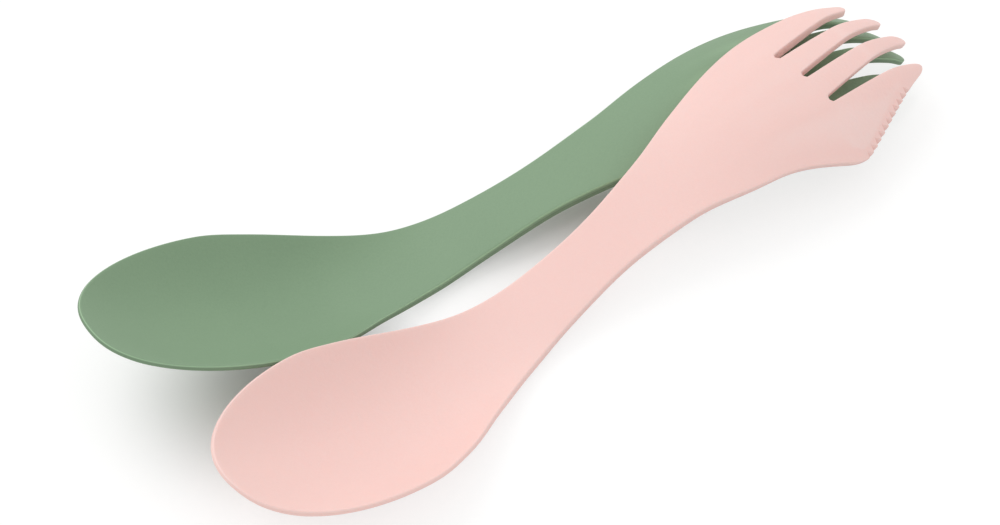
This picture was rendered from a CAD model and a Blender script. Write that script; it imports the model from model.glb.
import math

import bmesh
import bpy
from mathutils import Euler, Matrix, Vector


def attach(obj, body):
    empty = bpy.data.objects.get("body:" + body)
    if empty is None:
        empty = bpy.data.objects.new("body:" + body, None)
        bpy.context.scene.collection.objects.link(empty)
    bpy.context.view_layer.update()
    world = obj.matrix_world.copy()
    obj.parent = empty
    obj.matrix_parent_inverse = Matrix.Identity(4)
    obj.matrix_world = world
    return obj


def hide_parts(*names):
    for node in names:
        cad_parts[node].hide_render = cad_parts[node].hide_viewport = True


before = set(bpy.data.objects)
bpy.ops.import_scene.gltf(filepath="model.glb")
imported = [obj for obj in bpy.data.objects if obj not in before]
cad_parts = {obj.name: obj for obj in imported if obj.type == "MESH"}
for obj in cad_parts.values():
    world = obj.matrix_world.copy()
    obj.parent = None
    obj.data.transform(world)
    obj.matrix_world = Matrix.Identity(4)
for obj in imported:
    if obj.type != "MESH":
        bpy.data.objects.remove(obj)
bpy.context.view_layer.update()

# The sage green spork, which lies flat on the table under the pink one. It is one injection moulding of
# matte, spark-textured plastic: a spoon's bowl, a waisted handle and a four-tine fork with a knife edge.
# Each spork is shaped along +X from its bowl's tip, with the knife's side towards -Y.
MM = 0.001
LENGTH = 170 * MM
BOWL_WIDTH, BOWL_WIDEST_AT, BOWL_BLUNTNESS = 35.2 * MM, 30 * MM, 2.34
WAIST_AT, SLOT_ROOT_AT = 88 * MM, 142.2 * MM
SLOT_ROOT_WIDTH, SLOT_PITCH, SLOT_SHIFT = 1.35 * MM, 6.4 * MM, -0.85 * MM
TINE_TIP_WIDTH, TINE_NOSE, TINE_PITCH = 2.5 * MM, 2.4 * MM, 6.12 * MM
OUTER_TIP_AT = LENGTH - 3.2 * MM
OUTER_NOSE_AT = OUTER_TIP_AT - TINE_NOSE
KNIFE_TINE_OUT = 0.95 * MM
KNIFE_CORNER_AT, KNIFE_CORNER, KNIFE_CORNER_SOFTNESS = 140 * MM, 19.5 * MM, 0.6 * MM
KNIFE_FLARE_SLOPE = 0.453
TEETH, TOOTH_PITCH, TOOTH_DEPTH, TOOTH_START = 11, 1.7 * MM, 0.55 * MM, 1.6 * MM
TOOTH_LEAN = math.radians(18)
ARCH, ARCH_OUT, ARCH_FROM, ARCH_TO = 5.9 * MM, 18 * MM, 96 * MM, 130 * MM
WALL, FLOOR_WALL, RIM_WALL, TINE_WALL, KNIFE_WALL = 2 * MM, 1.6 * MM, 0.9 * MM, 1.3 * MM, 1.2 * MM
BOWL_WALL_TO, FLOOR_SHARE, KNIFE_EDGE_SHARE = 40 * MM, 0.1, 0.85
EDGE_ROUND = 0.25 * MM
GREEN, GREEN_SHADE = (0.226, 0.343, 0.212), (0.208, 0.319, 0.197)


def mix(a, b, share):
    return a + (b - a) * share


def ease(start, end, x):
    share = min(max((x - start) / (end - start), 0.0), 1.0)
    return share * share * (3 - 2 * share)


def smooth_through(points, x):
    """A curve through the points, in millimetres, that never overshoots them. x and the result are metres."""
    x = x / MM
    steps = [(b[1] - a[1]) / (b[0] - a[0]) for a, b in zip(points, points[1:])]
    slopes = [steps[0]]
    for before, after in zip(steps, steps[1:]):
        slopes.append(2 * before * after / (before + after) if before * after > 0 else 0.0)
    slopes.append(steps[-1])
    last = len(points) - 2
    span = next((i for i in range(last) if x < points[i + 1][0]), last)
    (x0, y0), (x1, y1) = points[span], points[span + 1]
    t = min(max((x - x0) / (x1 - x0), 0.0), 1.0)
    bends = slopes[span] * t * (1 - t) ** 2 + slopes[span + 1] * t * t * (t - 1)
    return (mix(y0, y1, t * t * (3 - 2 * t)) + (x1 - x0) * bends) * MM


# Half widths, heights and depths in millimetres, each at its distance from the bowl's tip.
BODY_HALF = [(0, 0), (30, 17.6), (40, 15.9), (52, 11.85), (64, 8.4), (76, 6.5), (88, 5.9), (106, 7.7)]
PLAIN_HALF = BODY_HALF + [(118, 10.2), (142, 13.7), (153, 12.75), (158, 11.5), (164.4, 10.43)]
KNIFE_HALF = BODY_HALF + [(118, 11.3), (126, 13.35), (140, 19.5)]
RIM_VIEW = [(0, 20), (30, 11.4), (46, 6.35), (67, 1.9)]
BOWL_END = 76 * MM
SIDE_VIEW = RIM_VIEW + [(94, 5.95), (108, 8.3), (130, 11.75), (156, 9), (166, 4.3), (170, 0.99)]
BOWL_DEPTH = [(0, 8.2), (30, 7.8), (46, 5.6), (52, 3.92), (64, 1.05), (76, 0), (90, 0)]


def bowl_end_half(x):
    inset = 1 - x / BOWL_WIDEST_AT
    return BOWL_WIDTH / 2 * max(1 - inset * inset, 0.0) ** (1 / BOWL_BLUNTNESS)


def bowl_end_at(half_width):
    share = min(half_width / (BOWL_WIDTH / 2), 1.0)
    return BOWL_WIDEST_AT * (1 - math.sqrt(1 - share ** BOWL_BLUNTNESS))


def tine_centre(tine):
    centre = (tine - 1.5) * TINE_PITCH
    return centre - KNIFE_TINE_OUT if tine == 0 else centre


def plain_half(x):
    return bowl_end_half(x) if x < BOWL_WIDEST_AT else smooth_through(PLAIN_HALF, x)


def knife_line(x):
    tip_edge = TINE_TIP_WIDTH / 2 - tine_centre(0)
    return mix(KNIFE_CORNER, tip_edge, (x - KNIFE_CORNER_AT) / (OUTER_NOSE_AT - KNIFE_CORNER_AT))


def knife_half(x):
    if x < BOWL_WIDEST_AT:
        return bowl_end_half(x)
    flare = smooth_through(KNIFE_HALF, x) + KNIFE_FLARE_SLOPE * max(x - KNIFE_CORNER_AT, 0.0)
    edge = knife_line(x)
    return (flare + edge - math.hypot(flare - edge, 2 * KNIFE_CORNER_SOFTNESS)) / 2


def arch_drop(x, y):
    return ARCH * ease(ARCH_FROM, ARCH_TO, x) * (y / ARCH_OUT) ** 2


def bowl_fullness(x, y):
    if x < BOWL_WIDEST_AT:
        across = abs(y) / (BOWL_WIDTH / 2)
        return min((1 - x / BOWL_WIDEST_AT) ** 2 + across ** BOWL_BLUNTNESS, 1.0)
    return min(abs(y) / plain_half(x), 1.0) ** BOWL_BLUNTNESS


def height(x, y):
    level = smooth_through(SIDE_VIEW, x) - arch_drop(x, y)
    if x < BOWL_END:
        level -= smooth_through(BOWL_DEPTH, x) * (1 - bowl_fullness(x, y))
    return level


def wall(x, y):
    bowl = mix(FLOOR_WALL, RIM_WALL, max(bowl_fullness(x, y) - FLOOR_SHARE, 0.0) / (1 - FLOOR_SHARE))
    thickness = mix(bowl, WALL, ease(BOWL_WALL_TO, WAIST_AT, x))
    thickness = mix(thickness, TINE_WALL, ease(SLOT_ROOT_AT, LENGTH, x))
    if x > KNIFE_CORNER_AT - TOOTH_START:
        at_knife = ease(KNIFE_CORNER_AT - TOOTH_START, KNIFE_CORNER_AT, x)
        at_knife *= ease(KNIFE_EDGE_SHARE, 1.0, -y / knife_half(x))
        thickness = mix(thickness, min(thickness, KNIFE_WALL), at_knife)
    return thickness


# The mesh starts as a flat grid: cells run from the bowl to the tines, lanes run across from the knife.
TIP_ARC, HANDLE_FROM, HANDLE_TO = 5 * MM, 66 * MM, 118 * MM
TIP_CROWDING, TINE_CROWDING, NOSE_BLUNTNESS = 1.15, 1.4, 0.64
BOWL_CELLS, HANDLE_CELLS, PALM_CELLS, TINE_CELLS = 26, 16, 14, 14
SOLID_CELLS = BOWL_CELLS + HANDLE_CELLS + PALM_CELLS
CELLS = SOLID_CELLS + TINE_CELLS
LANES_PER_TINE, LANES_PER_SLOT = 2, 2
LANES_PER_STEP = LANES_PER_TINE + LANES_PER_SLOT
LANES = 4 * LANES_PER_TINE + 3 * LANES_PER_SLOT


def station(cell):
    if cell <= BOWL_CELLS:
        return mix(TIP_ARC, HANDLE_FROM, (cell / BOWL_CELLS) ** TIP_CROWDING)
    if cell <= BOWL_CELLS + HANDLE_CELLS:
        return mix(HANDLE_FROM, HANDLE_TO, (cell - BOWL_CELLS) / HANDLE_CELLS)
    return mix(HANDLE_TO, SLOT_ROOT_AT, (cell - BOWL_CELLS - HANDLE_CELLS) / PALM_CELLS)


def root_line(lane):
    step, place = divmod(lane, LANES_PER_STEP)
    edges = [-knife_half(SLOT_ROOT_AT)]
    for slot in (-1, 0, 1):
        centre = SLOT_SHIFT + slot * SLOT_PITCH
        edges += [centre - SLOT_ROOT_WIDTH / 2, centre + SLOT_ROOT_WIDTH / 2]
    edges.append(plain_half(SLOT_ROOT_AT))
    if place <= LANES_PER_TINE:
        return mix(edges[2 * step], edges[2 * step + 1], place / LANES_PER_TINE)
    return mix(edges[2 * step + 1], edges[2 * step + 2], (place - LANES_PER_TINE) / LANES_PER_SLOT)


def sheet_point(cell, lane):
    x = station(cell)
    knife = knife_half(x)
    root_knife = knife_half(SLOT_ROOT_AT)
    even_share = lane / LANES
    root_share = (root_line(lane) + root_knife) / (root_knife + plain_half(SLOT_ROOT_AT))
    share = mix(even_share, root_share, ease(WAIST_AT, SLOT_ROOT_AT, x))
    y = (knife + plain_half(x)) * share - knife
    if x < BOWL_WIDEST_AT:
        end_y = bowl_end_half(TIP_ARC) * (2 * even_share - 1)
        fade = 1 - (x - TIP_ARC) / (BOWL_WIDEST_AT - TIP_ARC)
        x -= (TIP_ARC - bowl_end_at(abs(end_y))) * fade
    if cell == SOLID_CELLS and lane % LANES_PER_STEP > LANES_PER_TINE:
        x -= SLOT_ROOT_WIDTH / 3
    return x, y


def tine_point(cell, lane):
    tine, place = divmod(lane, LANES_PER_STEP)
    tip_at = OUTER_TIP_AT if tine in (0, 3) else LENGTH
    run = 1 - (1 - (cell - SOLID_CELLS) / TINE_CELLS) ** TINE_CROWDING
    x = mix(SLOT_ROOT_AT, tip_at, run)
    taper = (x - SLOT_ROOT_AT) / (tip_at - TINE_NOSE - SLOT_ROOT_AT)
    first = tine * LANES_PER_STEP
    knife_side = mix(root_line(first), tine_centre(tine) - TINE_TIP_WIDTH / 2, taper)
    plain_side = mix(root_line(first + LANES_PER_TINE), tine_centre(tine) + TINE_TIP_WIDTH / 2, taper)
    if tine == 0:
        knife_side = -knife_half(x)
    if tine == 3:
        plain_side = plain_half(x)
    nose = max(x - (tip_at - TINE_NOSE), 0.0) / TINE_NOSE
    half = (plain_side - knife_side) / 2 * math.sqrt(1 - NOSE_BLUNTNESS * nose * nose)
    across = 2 * place / LANES_PER_TINE - 1
    x -= TINE_NOSE / 6 * nose * nose * abs(across)
    return x, (knife_side + plain_side) / 2 + half * across


def tooth_cutter():
    """Four-sided bars that notch the knife's edge."""
    bars = bmesh.new()
    run = OUTER_TIP_AT - KNIFE_CORNER_AT
    along = Vector((run, knife_line(KNIFE_CORNER_AT) - knife_line(OUTER_TIP_AT), 0)).normalized()
    inward = Vector((-along.y, along.x, 0))
    radius = 0.48 * TOOTH_PITCH
    for tooth in range(TEETH):
        x = KNIFE_CORNER_AT + (TOOTH_START + tooth * TOOTH_PITCH) * along.x
        edge = Vector((x, -knife_line(x), height(x, -knife_line(x))))
        heading = Matrix.Rotation(math.atan2(along.y, along.x), 4, "Z")
        lean = Matrix.Rotation(TOOTH_LEAN, 4, -along) @ heading
        place = Matrix.Translation(edge - inward * (radius - TOOTH_DEPTH)) @ lean
        size = {"radius1": radius, "radius2": radius, "depth": 3 * WALL}
        bmesh.ops.create_cone(bars, segments=4, cap_ends=True, matrix=place, **size)
    mesh = bpy.data.meshes.new("tooth_cutter")
    bars.to_mesh(mesh)
    bars.free()
    cutter = bpy.data.objects.new("tooth_cutter", mesh)
    bpy.context.scene.collection.objects.link(cutter)
    return cutter


def moulded_spork(name):
    """The spork's mesh: a sheet with its slots left out, then its wall, rounded edges and serrations."""
    grid = bmesh.new()
    bmesh.ops.create_grid(grid, x_segments=CELLS, y_segments=LANES, size=1.0)
    slots = []
    for face in grid.faces:
        middle = face.calc_center_median()
        cell, lane = math.floor((middle.x + 1) / 2 * CELLS), math.floor((middle.y + 1) / 2 * LANES)
        if cell >= SOLID_CELLS and lane % LANES_PER_STEP >= LANES_PER_TINE:
            slots.append(face)
    bmesh.ops.delete(grid, geom=slots, context="FACES")
    for vertex in grid.verts:
        cell, lane = round((vertex.co.x + 1) / 2 * CELLS), round((vertex.co.y + 1) / 2 * LANES)
        x, y = sheet_point(cell, lane) if cell <= SOLID_CELLS else tine_point(cell, lane)
        vertex.co = Vector((x, y, height(x, y)))
    sheet = bpy.data.meshes.new(name)
    grid.to_mesh(sheet)
    grid.free()
    spork = bpy.data.objects.new(name, sheet)
    bpy.context.scene.collection.objects.link(spork)
    walls = spork.vertex_groups.new(name="wall")
    for vertex in sheet.vertices:
        walls.add([vertex.index], wall(vertex.co.x, vertex.co.y) / WALL, "REPLACE")

    shell = spork.modifiers.new("wall", "SOLIDIFY")
    shell.thickness, shell.offset, shell.use_even_offset = WALL, 0.0, True
    shell.vertex_group, shell.thickness_vertex_group = walls.name, 0.0
    edges = spork.modifiers.new("rounded edges", "BEVEL")
    edges.width, edges.segments, edges.use_clamp_overlap = EDGE_ROUND, 2, False
    edges.limit_method, edges.angle_limit = "ANGLE", math.radians(50)
    smooth = spork.modifiers.new("smooth form", "SUBSURF")
    smooth.levels = smooth.render_levels = 2
    teeth = spork.modifiers.new("serrations", "BOOLEAN")
    cutter = tooth_cutter()
    teeth.object, teeth.operation, teeth.solver = cutter, "DIFFERENCE", "EXACT"

    bpy.context.view_layer.update()
    shaped = bpy.data.meshes.new_from_object(spork.evaluated_get(bpy.context.evaluated_depsgraph_get()))
    spork.modifiers.clear()
    spork.vertex_groups.clear()
    spork.data = shaped
    bpy.data.objects.remove(cutter)
    shaped.name = name
    shaped.shade_smooth()
    shaped.set_sharp_from_angle(angle=math.radians(40))
    level = shaped.attributes.new("wall_level", "FLOAT", "POINT")
    for vertex in shaped.vertices:
        x, y, z = vertex.co
        level.data[vertex.index].value = (z - height(x, y)) / (wall(x, y) / 2)
    return spork


class Value:
    """A shader socket that can be used in Python sums."""

    def __init__(self, tree, socket):
        self.tree, self.socket = tree, socket

    def math(self, operation, *others):
        values = {i + 1: other for i, other in enumerate(others)}
        return node(self.tree, "ShaderNodeMath", {"operation": operation}, {0: self, **values})

    def __add__(self, other):
        return self.math("ADD", other)

    def __sub__(self, other):
        return self.math("SUBTRACT", other)

    def __mul__(self, other):
        return self.math("MULTIPLY", other)

    def __rsub__(self, other):
        return node(self.tree, "ShaderNodeMath", {"operation": "SUBTRACT"}, {0: other, 1: self})

    def __abs__(self):
        return self.math("ABSOLUTE")

    __radd__ = __add__
    __rmul__ = __mul__


def node(tree, kind, settings, values, out=0):
    """Any shader node: its settings are set first, then its sockets are given values or links."""
    made = tree.nodes.new(kind)
    for key, value in settings.items():
        setattr(made, key, value)
    for key, value in values.items():
        socket = made.inputs[key]
        if isinstance(value, Value):
            tree.links.new(value.socket, socket)
        else:
            socket.default_value = value
    return Value(tree, made.outputs[out])


def band(tree, value, start, end):
    """0 below start and 1 above end, eased between."""
    eased = {"interpolation_type": "SMOOTHSTEP"}
    return node(tree, "ShaderNodeMapRange", eased, {0: value, 1: start, 2: end})


def colour_mix(tree, share, low, high):
    """The low colour where share is 0 and the high one where it is 1. Each is three numbers or a socket."""
    low, high = (c if isinstance(c, Value) else (*c, 1) for c in (low, high))
    kind = {"data_type": "RGBA", "blend_type": "MIX"}
    return node(tree, "ShaderNodeMix", kind, {0: share, 6: low, 7: high}, out=2)


def spark_plastic(name, colour, shade, glow, wall_tone):
    """Matte moulded plastic with a spark-eroded grain, slight flow shading and a parting line round its wall.

    glow is the share of light that passes through the plastic, and wall_tone is how much the wall's lower
    half and its top edge stand out.
    """
    material = bpy.data.materials.new(name)
    material.use_nodes = True
    tree = material.node_tree
    shader = tree.nodes["Principled BSDF"]
    place = node(tree, "ShaderNodeTexCoord", {}, {}, out=3)
    fine = {"Vector": place, "Scale": 2600.0, "Detail": 2.0, "Roughness": 0.6}
    grain = node(tree, "ShaderNodeTexNoise", {}, fine)
    pits = node(tree, "ShaderNodeTexVoronoi", {"feature": "F1"}, {"Vector": place, "Scale": 1500.0})
    flow = node(tree, "ShaderNodeTexNoise", {}, {"Vector": place, "Scale": 38.0, "Detail": 3.0})
    level = node(tree, "ShaderNodeAttribute", {"attribute_name": "wall_level"}, {}, out=2)
    side = 1 - band(tree, abs(level), 0.55, 0.9)
    seam = (1 - band(tree, abs(level), 0.03, 0.12)) * side
    lower_half = (1 - band(tree, level, -0.05, 0.05)) * side
    lip = band(tree, level, 0.45, 0.75) * (1 - band(tree, level, 0.9, 1.0))

    tone = 0.35 + 0.5 * band(tree, flow, 0.3, 0.7) + 1.6 * (grain - 0.5)
    tinted = colour_mix(tree, tone, shade, colour)
    wall_shadow = (0.5 * seam + 0.35 * lower_half) * wall_tone
    darker = colour_mix(tree, wall_shadow, tinted, [c * 0.55 for c in shade])
    lit = colour_mix(tree, 0.9 * lip * wall_tone, darker, [min(c * 1.6, 0.95) for c in colour])
    tree.links.new(lit.socket, shader.inputs["Base Color"])
    rough = 0.46 + 0.10 * grain + 0.04 * flow
    tree.links.new(rough.socket, shader.inputs["Roughness"])
    relief = 0.35 * grain + 0.5 * pits - 0.6 * seam
    bump = node(tree, "ShaderNodeBump", {}, {"Strength": 0.35, "Distance": 0.0001, "Height": relief})
    tree.links.new(bump.socket, shader.inputs["Normal"])
    shader.inputs["Specular IOR Level"].default_value = 0.42
    shader.inputs["Subsurface Weight"].default_value = glow
    shader.inputs["Subsurface Radius"].default_value = (1.0, 0.6, 0.5)
    shader.inputs["Subsurface Scale"].default_value = 0.003
    return material


def lie(spork, tip, heading, pitch=0.0, roll=0.0):
    """Places a spork's mesh by its bowl's tip, in mm, with its fork raised by pitch, and on the table."""
    turn = Euler((math.radians(roll), -math.radians(pitch), math.radians(heading))).to_matrix().to_4x4()
    spork.data.transform(Matrix.Translation(Vector(tip) * MM) @ turn)
    for vertex in spork.data.vertices:
        vertex.co.z = max(vertex.co.z, 0.0)


green_spork = moulded_spork("green_moulding")
lie(green_spork, (-72.45, -30.27, -0.04), heading=32.75)
sage_plastic = spark_plastic("sage green plastic", GREEN, GREEN_SHADE, glow=0.0, wall_tone=1.0)
green_spork.data.materials.append(sage_plastic)
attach(green_spork, "root")
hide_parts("green_spork")

# The pale pink spork, moulded in the same tool from the same plastic in another colour, a little more
# translucent. Its bowl rests on the table beside the green bowl, and its fork lies over the green fork,
# which tips it a little to one side.
PINK, PINK_SHADE = (0.92, 0.63, 0.585), (0.905, 0.61, 0.565)
pink_spork = moulded_spork("pink_moulding")
lie(pink_spork, (-47.20, -62.24, -1.51), heading=46.55, pitch=2.221, roll=7.1)
pink_plastic = spark_plastic("pale pink plastic", PINK, PINK_SHADE, glow=0.12, wall_tone=0.12)
pink_spork.data.materials.append(pink_plastic)
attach(pink_spork, "root")
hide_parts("pink_spork")

# The table: a plain matt white surface that the pair lies on, and that keeps their soft shadows. The
# camera sees it lifted to white, least beside the handles' crossing and the bowls, where it is darkest.
TABLE_GLOW, LEAST_LIFT, MORE_LIFT = 1.15, 0.04, 0.6
PAIR_HEADING = math.radians(40.8)
bpy.ops.mesh.primitive_plane_add(size=6, location=(0, 0, -0.00005))
table = bpy.context.object
table.name = "white_table"
table_white = bpy.data.materials.new("white table")
table_white.use_nodes = True
tree = table_white.node_tree
tree.nodes.clear()
matt = node(tree, "ShaderNodeBsdfDiffuse", {}, {"Color": (0.84, 0.84, 0.83, 1)})
white = node(tree, "ShaderNodeEmission", {}, {"Color": (1, 1, 1, 1), "Strength": TABLE_GLOW})
where = node(tree, "ShaderNodeTexCoord", {}, {}, out=3)


def clear_of(spot, along, across, near, far):
    """0 inside an oval round the spot and 1 well outside it. The oval's length runs along the pair."""
    oval = {"Location": (*spot, 0), "Rotation": (0, 0, PAIR_HEADING), "Scale": (along, across, 1)}
    inside = node(tree, "ShaderNodeMapping", {"vector_type": "TEXTURE"}, {"Vector": where, **oval})
    away = node(tree, "ShaderNodeVectorMath", {"operation": "LENGTH"}, {0: inside}, out=1)
    return band(tree, away, near, far)


by_handles = clear_of((14 * MM, 20 * MM), 24 * MM, 8 * MM, 0.05, 2.1)
by_bowls = clear_of((-42 * MM, -27 * MM), 20 * MM, 20 * MM, 0.1, 1.8)
lifted_rays = ("Is Camera Ray", "Is Glossy Ray", "Is Transmission Ray")
seen = sum(node(tree, "ShaderNodeLightPath", {}, {}, out=kind) for kind in lifted_rays)
lift = LEAST_LIFT + MORE_LIFT * by_handles.math("MINIMUM", by_bowls)
both = node(tree, "ShaderNodeMixShader", {}, {0: seen * lift, 1: matt, 2: white})
tree.links.new(both.socket, tree.nodes.new("ShaderNodeOutputMaterial").inputs[0])
table.data.materials.append(table_white)

# The studio light: an even white surround, which gives most of the light, and one broad softbox that
# stands behind the pair on the left, so that the shadows fall softly towards the camera.
world = bpy.data.worlds.new("studio")
world.use_nodes = True
world.node_tree.nodes["Background"].inputs["Color"].default_value = (1.0, 1.0, 1.0, 1)
world.node_tree.nodes["Background"].inputs["Strength"].default_value = 0.85
bpy.context.scene.world = world


def softbox(name, place, size, watts):
    """A square area lamp that faces the middle of the pair."""
    lamp = bpy.data.lights.new(name, "AREA")
    lamp.size, lamp.energy = size, watts
    lamp_object = bpy.data.objects.new(name, lamp)
    lamp_object.location = place
    lamp_object.rotation_euler = (-Vector(place)).to_track_quat("-Z", "Y").to_euler()
    bpy.context.scene.collection.objects.link(lamp_object)


softbox("back_softbox", (-0.60, 0.55, 0.90), size=0.8, watts=4.2)

# The camera: a long lens at the photograph's angle, 45 degrees above the table. It turns about the
# point of the table that it aims at, near the middle of the pair.
CAMERA_RISE, CAMERA_TURN = math.radians(45.005), math.radians(0.35)
CAMERA_DISTANCE = 0.71777
AIM = Vector((-0.00314, 0.00604, 0))
camera_data = bpy.data.cameras.new("camera")
camera_data.sensor_width = 36
camera_data.lens = 144.58
camera_data.clip_start = 0.05
camera = bpy.data.objects.new("camera", camera_data)
camera.rotation_euler = (math.pi / 2 - CAMERA_RISE, 0, CAMERA_TURN)
camera.location = AIM + camera.rotation_euler.to_matrix() @ Vector((0, 0, CAMERA_DISTANCE))
bpy.context.scene.collection.objects.link(camera)
bpy.context.scene.camera = camera
bpy.context.scene.view_settings.view_transform = "Standard"
